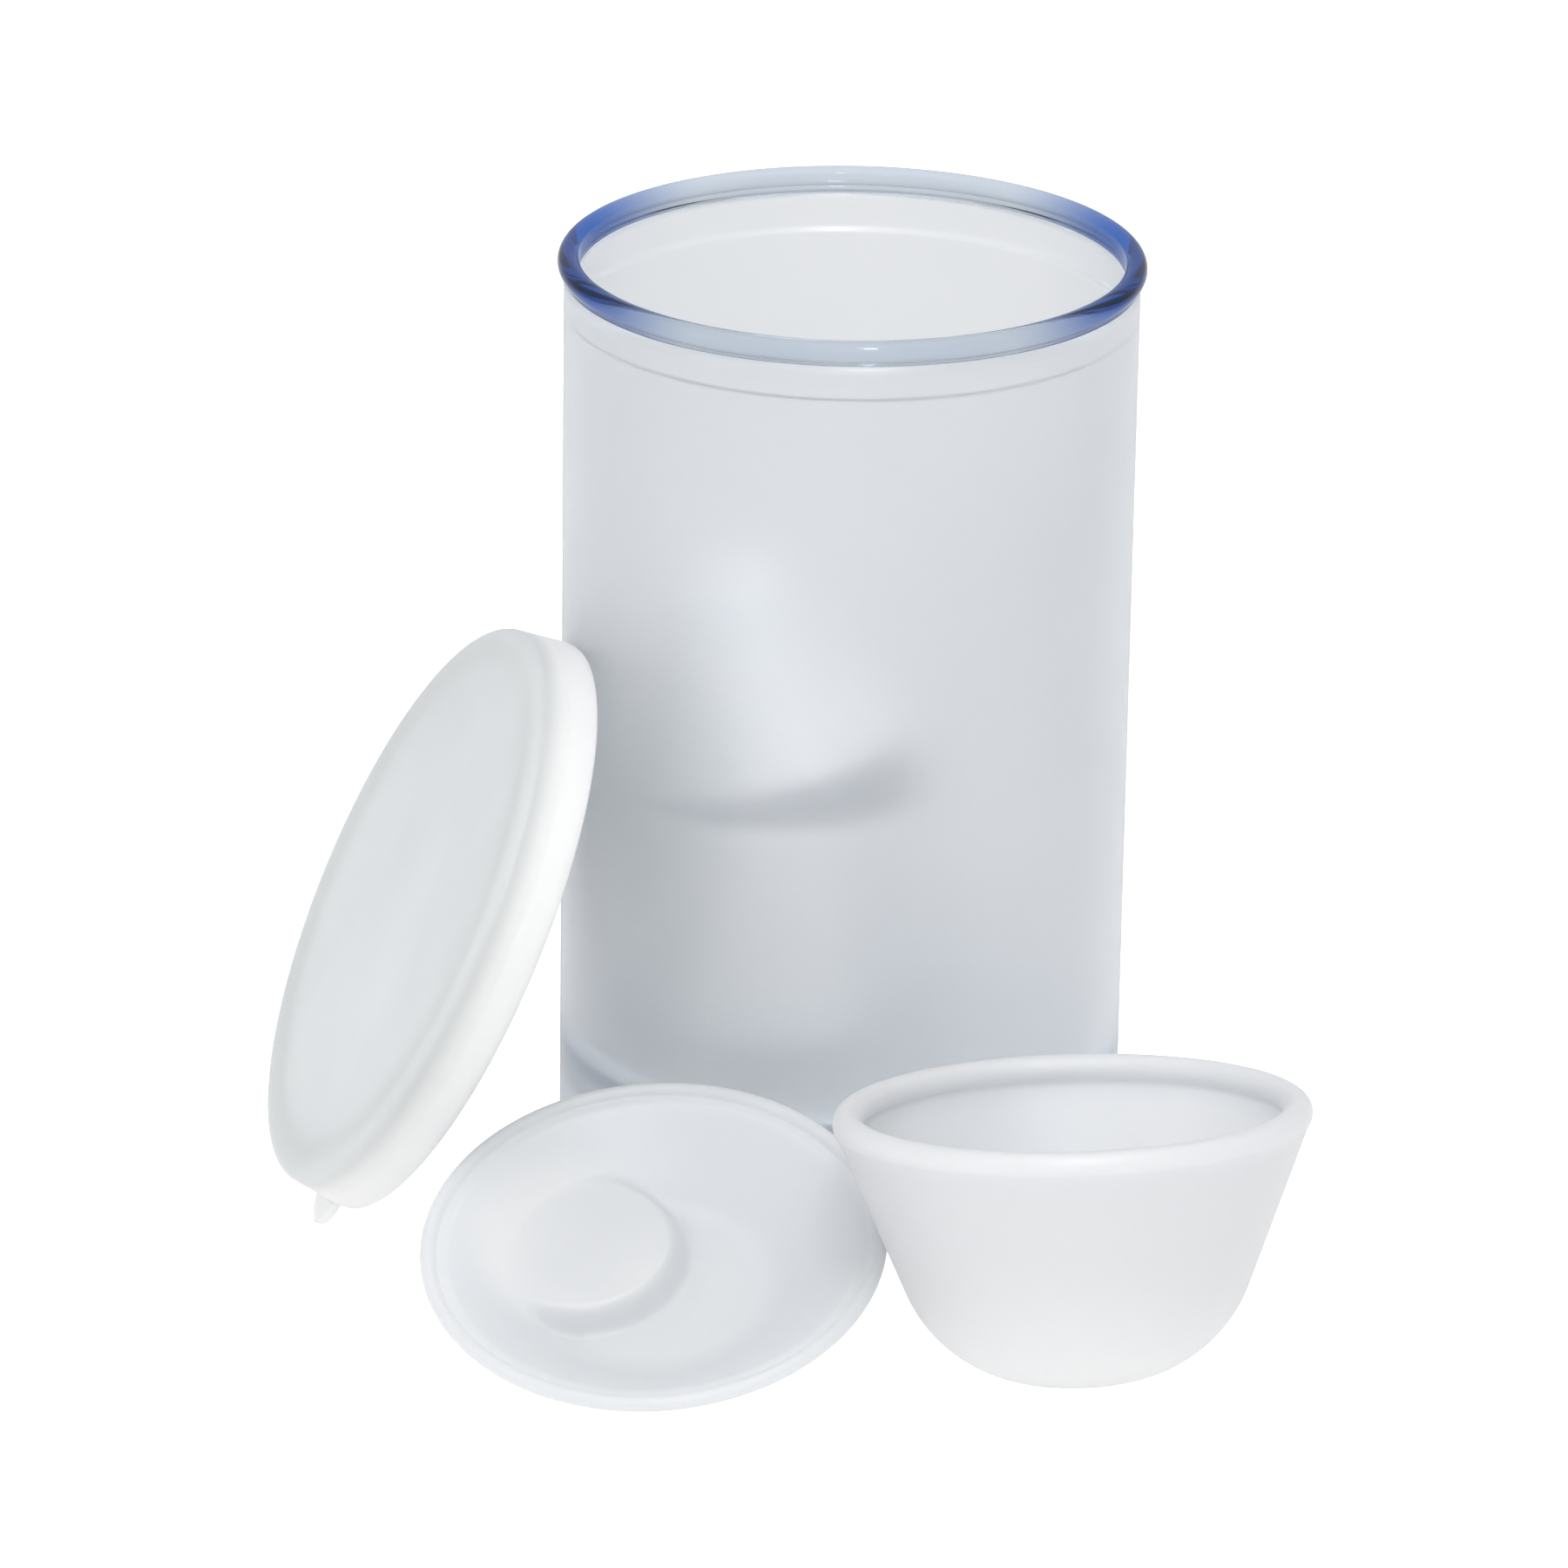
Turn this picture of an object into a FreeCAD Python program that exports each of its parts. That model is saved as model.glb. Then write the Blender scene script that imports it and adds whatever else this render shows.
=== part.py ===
import FreeCAD, Part
import math
import os

from FreeCAD import Placement, Rotation, Vector

# Plaster casting mould set, millimetres.
# Origin: centre of the whole set's footprint, on the table. +Z up, +X to the right, -Y to the front.

# ---- jar ----
JAR_HEIGHT = 116.0
JAR_NECK_R = 35.1  # outer radius just under the bead
JAR_DRAFT_DEG = 0.35
JAR_WALL = 1.8
BEAD_R = 35.85  # outer radius of the bead round the mouth
BEAD_TUBE = 1.4
LEDGE_DROP = 6.8  # step inside the neck, below the mouth
LEDGE_STEP = 0.45
JAR_FLOOR_Z = 14.0  # top of the pushed-up floor
JAR_FLOOR_THICK = 2.2
JAR_CORNER_R = 5.0  # inside corner between wall and floor
JAR_FOOT_R = 1.2  # rounding of the foot

# ---- lid ----
LID_FACE_R = 36.2
LID_SKIRT_R = 36.9
LID_DEPTH = 8.2
LID_WALL = 0.9
LID_DISC = 1.2
LID_EDGE_R = 1.8
SNAP_DEPTH = 0.45
SNAP_FROM_OPEN = 3.4
PLUG_R = 32.4  # ring that drops inside the mouth
PLUG_WALL = 1.0
PLUG_DEPTH = 3.2
TAB_WIDTH = 9.0
TAB_REACH = 3.6
TAB_THICK = 1.1

# ---- loose mould pieces: rim radius, height, flat base radius, corner radius, wall ----
CUP_R, CUP_H, CUP_BASE, CUP_CORNER, CUP_WALL = 28.6, 33.5, 4.0, 17.8, 2.0
CUP_LIP = 1.8
DISH_R, DISH_H, DISH_BASE, DISH_CORNER, DISH_WALL = 28.0, 10.0, 12.0, 8.0, 1.8
DISH_LIP = 0.95
PAD_R, PAD_TOP_R, PAD_H, PAD_EDGE_R = 13.2, 11.2, 3.2, 2.0
PAD_AT = (-9.3, 5.5)  # off the middle of the dish
SMALL_R, SMALL_H, SMALL_BASE, SMALL_CORNER, SMALL_WALL = 19.6, 33.0, 6.0, 10.0, 1.5
SMALL_LIP = 0.95
DOME_R, DOME_H, DOME_BASE, DOME_CORNER, DOME_WALL = 19.2, 26.5, 0.6, 9.5, 1.5
DOME_LIP = 0.95

# ---- where each loose piece rests, measured from the jar's axis ----
LID_CENTRE = Vector(-54.1, -24.0, 0.0)
LID_NORMAL = Vector(-0.888, -0.168, 0.429)
LID_TAB_TURN = 6.7  # degrees the tab sits round from the lowest point
CUP_AT, CUP_TILT = Vector(29.1, -78.3, 0.0), (-8.4, -2.7)
DISH_AT, DISH_TILT = Vector(-21.4, -66.8, 0.0), (22.2, -4.0)
SMALL_AT = Vector(-8.6, 3.0, 0.0)
DOME_LEAN = -14.0
REST_GAP = 0.12


def revolve(edges):
    """Turn a closed outline in the XZ plane about Z."""
    face = Part.Face(Part.Wire(edges))
    return face.revolve(Vector(0, 0, 0), Vector(0, 0, 1), 360)


def line(a, b):
    return Part.LineSegment(Vector(a[0], 0, a[1]), Vector(b[0], 0, b[1])).toShape()


def arc(centre, radius, start_deg, end_deg):
    """Arc in the XZ plane, angles measured from +X."""
    angles = [math.radians(v) for v in (start_deg, (start_deg + end_deg) / 2, end_deg)]
    points = [Vector(centre[0] + radius * math.cos(a), 0, centre[1] + radius * math.sin(a)) for a in angles]
    return Part.Arc(*points).toShape()


def disc(radius, low, high):
    return Part.makeCylinder(radius, high - low, Vector(0, 0, low))


def wall_angle(rim_r, height, base_r, corner_r):
    """Angle at the corner centre where the straight wall leaves the corner arc."""
    dx = rim_r - base_r
    dz = height - corner_r
    reach = math.hypot(dx, dz)
    return math.degrees(math.atan2(dz, dx) - math.acos(corner_r / reach))


def filled_bowl(rim_r, top, base_r, corner_r, bottom, lean_deg):
    """Solid filling a bowl: flat bottom, corner arc, then a straight wall up to the rim."""
    lean = math.radians(lean_deg)
    centre = (base_r, bottom + corner_r)
    arc_end = (centre[0] + corner_r * math.cos(lean), centre[1] + corner_r * math.sin(lean))
    return revolve([
        line((0, bottom), (base_r, bottom)),
        arc(centre, corner_r, -90, lean_deg),
        line(arc_end, (rim_r, top)),
        line((rim_r, top), (0, top)),
        line((0, top), (0, bottom)),
    ])


def bowl(rim_r, height, base_r, corner_r, wall, lip):
    """Round-bottomed bowl with an even wall and a rounded lip. Returns the bowl and its filled outline."""
    top = height - lip
    lean_deg = wall_angle(rim_r, top, base_r, corner_r)
    inner_r = rim_r - wall / math.cos(math.radians(lean_deg))
    outer = filled_bowl(rim_r, top, base_r, corner_r, 0, lean_deg)
    inner = filled_bowl(inner_r, top, base_r, corner_r - wall, wall, lean_deg)
    ring = Part.makeTorus(rim_r - lip, lip, Vector(0, 0, top))
    return outer.cut(inner).fuse(ring).removeSplitter(), outer


def rest_on(shape, height):
    """Drop or raise a shape until its lowest point is at the given height."""
    low = shape.optimalBoundingBox(True).ZMin
    shape.translate(Vector(0, 0, height - low))
    return shape


def tilt(shape, about_x, about_y):
    turn = Rotation(Vector(0, 1, 0), about_y).multiply(Rotation(Vector(1, 0, 0), about_x))
    shape.Placement = Placement(Vector(0, 0, 0), turn)
    return shape


def jar():
    slope = math.tan(math.radians(JAR_DRAFT_DEG))
    foot_r = JAR_NECK_R - slope * JAR_HEIGHT
    ledge_z = JAR_HEIGHT - LEDGE_DROP
    outer = revolve([
        line((0, 0), (foot_r - JAR_FOOT_R, 0)),
        arc((foot_r - JAR_FOOT_R, JAR_FOOT_R), JAR_FOOT_R, -90, 0),
        line((foot_r, JAR_FOOT_R), (JAR_NECK_R, JAR_HEIGHT - BEAD_TUBE)),
        line((JAR_NECK_R, JAR_HEIGHT - BEAD_TUBE), (0, JAR_HEIGHT - BEAD_TUBE)),
        line((0, JAR_HEIGHT - BEAD_TUBE), (0, 0)),
    ])
    bead = Part.makeTorus(BEAD_R - BEAD_TUBE, BEAD_TUBE, Vector(0, 0, JAR_HEIGHT - BEAD_TUBE))
    mouth_r = JAR_NECK_R - JAR_WALL
    floor_r = foot_r - JAR_WALL
    hollow = revolve([
        line((0, JAR_FLOOR_Z), (floor_r - JAR_CORNER_R, JAR_FLOOR_Z)),
        arc((floor_r - JAR_CORNER_R, JAR_FLOOR_Z + JAR_CORNER_R), JAR_CORNER_R, -90, 0),
        line((floor_r, JAR_FLOOR_Z + JAR_CORNER_R), (mouth_r - LEDGE_STEP, ledge_z - 1.2)),
        line((mouth_r - LEDGE_STEP, ledge_z - 1.2), (mouth_r, ledge_z - 0.6)),
        line((mouth_r, ledge_z - 0.6), (mouth_r, JAR_HEIGHT)),
        line((mouth_r, JAR_HEIGHT), (0, JAR_HEIGHT)),
        line((0, JAR_HEIGHT), (0, JAR_FLOOR_Z)),
    ])
    under_top = JAR_FLOOR_Z - JAR_FLOOR_THICK
    recess_r = foot_r - 3.6
    recess = revolve([
        line((0, -1), (recess_r, -1)),
        line((recess_r, -1), (recess_r, under_top - 3.0)),
        arc((recess_r - 3.0, under_top - 3.0), 3.0, 0, 90),
        line((recess_r - 3.0, under_top), (0, under_top)),
        line((0, under_top), (0, -1)),
    ])
    body = outer.cut(hollow).fuse(bead).cut(disc(mouth_r, JAR_HEIGHT - 6, JAR_HEIGHT + 1))
    return body.cut(recess).removeSplitter()


def lid():
    """Lid in its own frame: outer face at z = 0 looking +Z, skirt open towards -Z."""
    skin = revolve([
        line((0, 0), (LID_FACE_R - LID_EDGE_R, 0)),
        arc((LID_FACE_R - LID_EDGE_R, -LID_EDGE_R), LID_EDGE_R, 90, 0),
        line((LID_FACE_R, -LID_EDGE_R), (LID_SKIRT_R, -LID_DEPTH)),
        line((LID_SKIRT_R, -LID_DEPTH), (LID_SKIRT_R - LID_WALL, -LID_DEPTH)),
        line((LID_SKIRT_R - LID_WALL, -LID_DEPTH), (LID_FACE_R - LID_WALL + 0.1, -LID_DISC)),
        line((LID_FACE_R - LID_WALL + 0.1, -LID_DISC), (0, -LID_DISC)),
        line((0, -LID_DISC), (0, 0)),
    ])
    snap_z = -LID_DEPTH + SNAP_FROM_OPEN
    grip = LID_SKIRT_R - LID_WALL - 0.25
    snap = disc(grip + 0.5, snap_z - 0.45, snap_z + 0.45)
    snap = snap.cut(disc(grip - SNAP_DEPTH, snap_z - 1, snap_z + 1))
    plug = disc(PLUG_R, -LID_DISC - PLUG_DEPTH, -LID_DISC + 0.2)
    plug = plug.cut(disc(PLUG_R - PLUG_WALL, -LID_DISC - PLUG_DEPTH - 1, -LID_DISC + 0.1))
    reach = LID_SKIRT_R + TAB_REACH
    half = TAB_WIDTH / 2
    tab = Part.makeCylinder(half, TAB_THICK, Vector(0, -(reach - half), -LID_DEPTH))
    tab = tab.cut(disc(LID_SKIRT_R - 0.6, -LID_DEPTH - 1, 0))
    return skin.fuse([snap, plug, tab]).removeSplitter()


def place_lid(shape):
    """Turn the lid so its face looks along LID_NORMAL with the tab lowest, then stand it on the table."""
    normal = Vector(LID_NORMAL)
    normal.normalize()
    down = Vector(0, 0, -1)
    tab_way = down - normal * down.dot(normal)
    tab_way.normalize()
    side = normal.cross(tab_way)
    turn = Rotation(normal, LID_TAB_TURN).multiply(Rotation(side, tab_way * -1, normal, "ZXY"))
    shape.Placement = Placement(Vector(0, 0, 0), turn)
    shape.translate(LID_CENTRE)
    return rest_on(shape, REST_GAP)


def mould_cup():
    cup, _ = bowl(CUP_R, CUP_H, CUP_BASE, CUP_CORNER, CUP_WALL, CUP_LIP)
    cup = tilt(cup, *CUP_TILT)
    cup.translate(CUP_AT)
    return rest_on(cup, REST_GAP)


def mould_dish():
    dish, outline = bowl(DISH_R, DISH_H, DISH_BASE, DISH_CORNER, DISH_WALL, DISH_LIP)
    centre = Vector(PAD_AT[0], PAD_AT[1], DISH_WALL - 0.2)
    pad = Part.makeCone(PAD_R, PAD_TOP_R, PAD_H + 0.2, centre)
    pad = pad.makeFillet(PAD_EDGE_R, [edge for edge in pad.Edges if edge.BoundBox.ZMin > DISH_WALL + 1])
    pad = pad.common(outline)
    dish = tilt(dish.fuse(pad).removeSplitter(), *DISH_TILT)
    dish.translate(DISH_AT)
    return rest_on(dish, REST_GAP)


def small_cup():
    cup, _ = bowl(SMALL_R, SMALL_H, SMALL_BASE, SMALL_CORNER, SMALL_WALL, SMALL_LIP)
    cup.translate(SMALL_AT + Vector(0, 0, JAR_FLOOR_Z + REST_GAP))
    return cup


def small_dome():
    dome, _ = bowl(DOME_R, DOME_H, DOME_BASE, DOME_CORNER, DOME_WALL, DOME_LIP)
    dome.rotate(Vector(0, 0, DOME_H / 2), Vector(1, 0, 0), 180)
    dome.rotate(Vector(0, 0, 0), Vector(0, 1, 0), DOME_LEAN)
    dome.translate(SMALL_AT)
    return rest_on(dome, JAR_FLOOR_Z + SMALL_H + 2 * REST_GAP)


def centre_footprint(shapes):
    """Move all the pieces together so that the origin is the middle of their footprint."""
    boxes = [shape.optimalBoundingBox(True) for shape in shapes]
    middle_x = (min(box.XMin for box in boxes) + max(box.XMax for box in boxes)) / 2
    middle_y = (min(box.YMin for box in boxes) + max(box.YMax for box in boxes)) / 2
    for shape in shapes:
        shape.translate(Vector(-middle_x, -middle_y, 0))


def main():
    os.makedirs("parts", exist_ok=True)
    pieces = {
        "jar": jar(),
        "lid": place_lid(lid()),
        "mould_cup": mould_cup(),
        "mould_dish": mould_dish(),
        "small_cup": small_cup(),
        "small_dome": small_dome(),
    }
    centre_footprint(pieces.values())
    for name, shape in pieces.items():
        shape.exportStep(f"parts/{name}.step")


main()
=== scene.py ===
"""Plaster casting mould set: a clear snap-lid jar, its lid and four loose milky moulds.

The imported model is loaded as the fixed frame.  Every piece of the set is turned,
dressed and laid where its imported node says, and then rides on that node's body.
"""

from __future__ import annotations

import logging
import math
from collections.abc import Callable
from dataclasses import dataclass, field, replace
from enum import Enum

import bmesh
import bpy
from mathutils import Matrix, Vector


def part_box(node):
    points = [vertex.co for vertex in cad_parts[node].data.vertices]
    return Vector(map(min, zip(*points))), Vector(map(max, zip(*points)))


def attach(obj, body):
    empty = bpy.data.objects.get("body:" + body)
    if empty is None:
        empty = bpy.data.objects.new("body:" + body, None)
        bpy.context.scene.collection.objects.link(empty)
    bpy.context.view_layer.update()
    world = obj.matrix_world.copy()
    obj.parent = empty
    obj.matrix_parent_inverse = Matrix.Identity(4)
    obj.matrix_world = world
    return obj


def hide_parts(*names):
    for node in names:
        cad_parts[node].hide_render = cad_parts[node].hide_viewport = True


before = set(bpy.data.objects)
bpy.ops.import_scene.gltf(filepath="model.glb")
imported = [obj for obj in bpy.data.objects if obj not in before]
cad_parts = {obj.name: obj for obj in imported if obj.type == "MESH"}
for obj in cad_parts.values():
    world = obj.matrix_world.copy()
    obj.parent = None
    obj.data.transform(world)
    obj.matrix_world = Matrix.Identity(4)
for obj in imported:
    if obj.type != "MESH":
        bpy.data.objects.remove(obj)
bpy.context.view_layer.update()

LOG = logging.getLogger("mould_set")
MM = 0.001
AROUND = 192  # faces round a turned piece
AROUND_LARGE = 256  # and round the jar and its lid
TAB_STEP = 10.6  # degrees between the steps that draw the tab out
UNDER_STEP = 1.2  # millimetres between the rings of a bowl's underside
FLOOR_STEP = 0.6  # and of its inner floor

Point = tuple[float, float]


class Slot(Enum):
    """The record's material slots."""

    CLEAR = "clear_plastic"
    MILKY = "milky_plastic"
    SOFT = "soft_milky"


# ---------------------------------------------------------------- outlines and turning


@dataclass
class Outline:
    """A half section drawn point by point: radius, then height, in millimetres."""

    points: list[Point] = field(default_factory=list)

    def to(
        self, radius: float, height: float, steps: int = 1, ease: float = 0.0
    ) -> Outline:
        """Draws a straight run from the last point, cut into steps.

        Args:
            radius: Distance of the run's end from the axis.
            height: Height of the run's end.
            steps: How many equal lengths the run is cut into.
            ease: How far each way the corner at the run's start is rounded.

        Returns:
            The same outline, so that runs can be chained.
        """
        if not self.points:
            self.points.append((radius, height))
            return self
        if ease > 0.0:
            self._round_last(_towards(self.points[-1], (radius, height), ease), ease)
        r0, z0 = self.points[-1]
        for i in range(1, steps + 1):
            t = i / steps
            self.points.append((r0 + (radius - r0) * t, z0 + (height - z0) * t))
        return self

    def arc(
        self, centre: Point, radius: float, start: float, end: float, steps: int = 8
    ) -> Outline:
        """Draws an arc, with a straight run to its start if the last point isn't there.

        Args:
            centre: The arc's centre.
            radius: The arc's radius.
            start: Angle of its first point in degrees, from the outward direction.
            end: Angle of its last point in degrees.
            steps: How many chords stand for the arc.

        Returns:
            The same outline.
        """
        for i in range(steps + 1):
            a = math.radians(start + (end - start) * i / steps)
            p = (centre[0] + radius * math.cos(a), centre[1] + radius * math.sin(a))
            if not self.points or math.dist(p, self.points[-1]) > 1e-4:
                self.points.append(p)
        return self

    def _round_last(self, end: Point, reach: float, steps: int = 5) -> None:
        """Rounds the corner at the last point.

        Args:
            end: Where the rounding ends, on the run that comes next.
            reach: How far back along the last run it starts.
            steps: How many chords stand for it.
        """
        corner = self.points.pop()
        while len(self.points) > 1 and math.dist(self.points[-1], corner) < reach:
            self.points.pop()
        start = _towards(corner, self.points[-1], reach)
        for i in range(steps + 1):
            t = i / steps
            first, mid, last = (1 - t) ** 2, 2 * t * (1 - t), t * t
            self.points.append(
                (
                    first * start[0] + mid * corner[0] + last * end[0],
                    first * start[1] + mid * corner[1] + last * end[1],
                )
            )


def _towards(start: Point, end: Point, reach: float) -> Point:
    """The point that lies reach along the way from start to end."""
    t = min(0.9, reach / max(1e-9, math.dist(start, end)))
    return (start[0] + (end[0] - start[0]) * t, start[1] + (end[1] - start[1]) * t)


def nothing_selected() -> None:
    """Leaves every object deselected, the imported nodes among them."""
    if bpy.context.object is not None and bpy.context.object.mode != "OBJECT":
        bpy.ops.object.mode_set(mode="OBJECT")
    bpy.ops.object.select_all(action="DESELECT")


def turned(name: str, outline: Outline, around: int = AROUND) -> bpy.types.Object:
    """Turns an outline about the upright axis into a closed piece.

    Args:
        name: The piece's name.
        outline: The half section, from axis to axis or closed on itself.
        around: How many faces go round the piece.

    Returns:
        The piece, centred on its own axis at the origin.
    """
    nothing_selected()
    bpy.ops.mesh.primitive_plane_add(size=MM)
    piece = bpy.context.object
    piece.name = piece.data.name = name
    bpy.ops.object.mode_set(mode="EDIT")
    bpy.ops.mesh.select_mode(type="VERT")
    bpy.ops.mesh.select_all(action="SELECT")
    bpy.ops.mesh.merge(type="CENTER")
    here = (0.0, 0.0)
    for i, (radius, height) in enumerate(outline.points):
        step = ((radius - here[0]) * MM, 0.0, (height - here[1]) * MM)
        if i == 0:
            bpy.ops.transform.translate(value=step)
        else:
            bpy.ops.mesh.extrude_vertices_move(TRANSFORM_OT_translate={"value": step})
        here = (radius, height)
    bpy.ops.mesh.select_all(action="SELECT")
    bpy.ops.mesh.spin(
        steps=around, angle=math.tau, center=(0.0, 0.0, 0.0), axis=(0.0, 0.0, 1.0)
    )
    bpy.ops.mesh.select_all(action="SELECT")
    bpy.ops.mesh.remove_doubles(threshold=0.002 * MM)
    bpy.ops.mesh.normals_make_consistent(inside=False)
    bpy.ops.mesh.faces_shade_smooth()
    bpy.ops.object.mode_set(mode="OBJECT")
    return piece


def pick_faces(piece: bpy.types.Object, wanted: Callable[[Vector], bool]) -> int:
    """Selects the faces of the piece being edited whose middles are wanted.

    Args:
        piece: The piece, in edit mode.
        wanted: Says from a face's middle whether it is wanted.

    Returns:
        How many faces are selected.
    """
    bpy.ops.mesh.select_mode(type="FACE")
    bpy.ops.mesh.select_all(action="DESELECT")
    mesh = bmesh.from_edit_mesh(piece.data)
    count = 0
    for face in mesh.faces:
        if wanted(face.calc_center_median()):
            face.select_set(True)
            count += 1
    bmesh.update_edit_mesh(piece.data)
    return count


def raised(piece: bpy.types.Object, lift: Callable[[Vector], float], most: float) -> None:
    """Raises the surface by a height that changes from place to place.

    Args:
        piece: The piece to shape.
        lift: Says how far a point rises, in metres.
        most: The greatest rise, in metres.
    """
    nothing_selected()
    group = piece.vertex_groups.new(name="raised")
    for vertex in piece.data.vertices:
        share = lift(vertex.co) / most
        if share > 0.0:
            group.add([vertex.index], min(1.0, share), "REPLACE")
    bpy.context.view_layer.objects.active = piece
    piece.select_set(True)
    press = piece.modifiers.new("raise", "DISPLACE")
    press.direction = "Z"
    press.mid_level = 0.0
    press.strength = most
    press.vertex_group = group.name
    bpy.ops.object.modifier_apply(modifier=press.name)
    piece.vertex_groups.clear()


def laid(piece: bpy.types.Object, turn: Matrix, node: str) -> Matrix:
    """Turns a piece and moves it until its box has the middle of its node's box.

    Args:
        piece: The piece, in its own frame.
        turn: How it is turned.
        node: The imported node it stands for.

    Returns:
        Where the piece's own frame has gone.
    """
    nothing_selected()
    corners = [turn @ vertex.co for vertex in piece.data.vertices]
    low = Vector([min(c[k] for c in corners) for k in range(3)])
    high = Vector([max(c[k] for c in corners) for k in range(3)])
    node_low, node_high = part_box(node)
    shift = (node_low + node_high - low - high) / 2
    place = Matrix.Translation(shift) @ turn
    piece.matrix_world = place
    bpy.context.view_layer.objects.active = piece
    piece.select_set(True)
    bpy.ops.object.transform_apply(location=True, rotation=True, scale=True)
    return place


# ---------------------------------------------------------------- finishes


def group_skin() -> bpy.types.ShaderNodeTree:
    """Builds the moulded-skin effect that every plastic of the set uses.

    Returns:
        A node group: two tints clouded into each other, a roughness that changes with
        the clouds, and the height of the fine grain left by the mould.
    """
    tree = bpy.data.node_groups.new("moulded_skin", "ShaderNodeTree")
    for name, kind, value in (
        ("Tint", "NodeSocketColor", (0.8, 0.8, 0.8, 1.0)),
        ("Shade", "NodeSocketColor", (0.7, 0.7, 0.7, 1.0)),
        ("Cloud Scale", "NodeSocketFloat", 60.0),
        ("Grain Scale", "NodeSocketFloat", 900.0),
        ("Smoothest", "NodeSocketFloat", 0.2),
        ("Roughest", "NodeSocketFloat", 0.4),
    ):
        socket = tree.interface.new_socket(name, in_out="INPUT", socket_type=kind)
        socket.default_value = value
    for name, kind in (
        ("Color", "NodeSocketColor"),
        ("Roughness", "NodeSocketFloat"),
        ("Height", "NodeSocketFloat"),
    ):
        tree.interface.new_socket(name, in_out="OUTPUT", socket_type=kind)
    nodes, links = tree.nodes, tree.links
    inside = nodes.new("NodeGroupInput")
    outside = nodes.new("NodeGroupOutput")
    place = nodes.new("ShaderNodeTexCoord")
    cloud = nodes.new("ShaderNodeTexNoise")
    cloud.inputs["Detail"].default_value = 3.0
    cloud.inputs["Roughness"].default_value = 0.45
    grain = nodes.new("ShaderNodeTexNoise")
    grain.inputs["Detail"].default_value = 4.0
    grain.inputs["Roughness"].default_value = 0.6
    spread = nodes.new("ShaderNodeMapRange")
    spread.inputs["From Min"].default_value = 0.32
    spread.inputs["From Max"].default_value = 0.68
    tint = nodes.new("ShaderNodeMix")
    tint.data_type = "RGBA"
    rough = nodes.new("ShaderNodeMapRange")
    rough.inputs["From Min"].default_value = 0.3
    rough.inputs["From Max"].default_value = 0.7
    links.new(place.outputs["Object"], cloud.inputs["Vector"])
    links.new(place.outputs["Object"], grain.inputs["Vector"])
    links.new(inside.outputs["Cloud Scale"], cloud.inputs["Scale"])
    links.new(inside.outputs["Grain Scale"], grain.inputs["Scale"])
    links.new(cloud.outputs["Fac"], spread.inputs["Value"])
    links.new(spread.outputs["Result"], tint.inputs["Factor"])
    links.new(inside.outputs["Tint"], tint.inputs["A"])
    links.new(inside.outputs["Shade"], tint.inputs["B"])
    links.new(cloud.outputs["Fac"], rough.inputs["Value"])
    links.new(inside.outputs["Smoothest"], rough.inputs["To Min"])
    links.new(inside.outputs["Roughest"], rough.inputs["To Max"])
    links.new(tint.outputs["Result"], outside.inputs["Color"])
    links.new(rough.outputs["Result"], outside.inputs["Roughness"])
    links.new(grain.outputs["Fac"], outside.inputs["Height"])
    return tree


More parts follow.
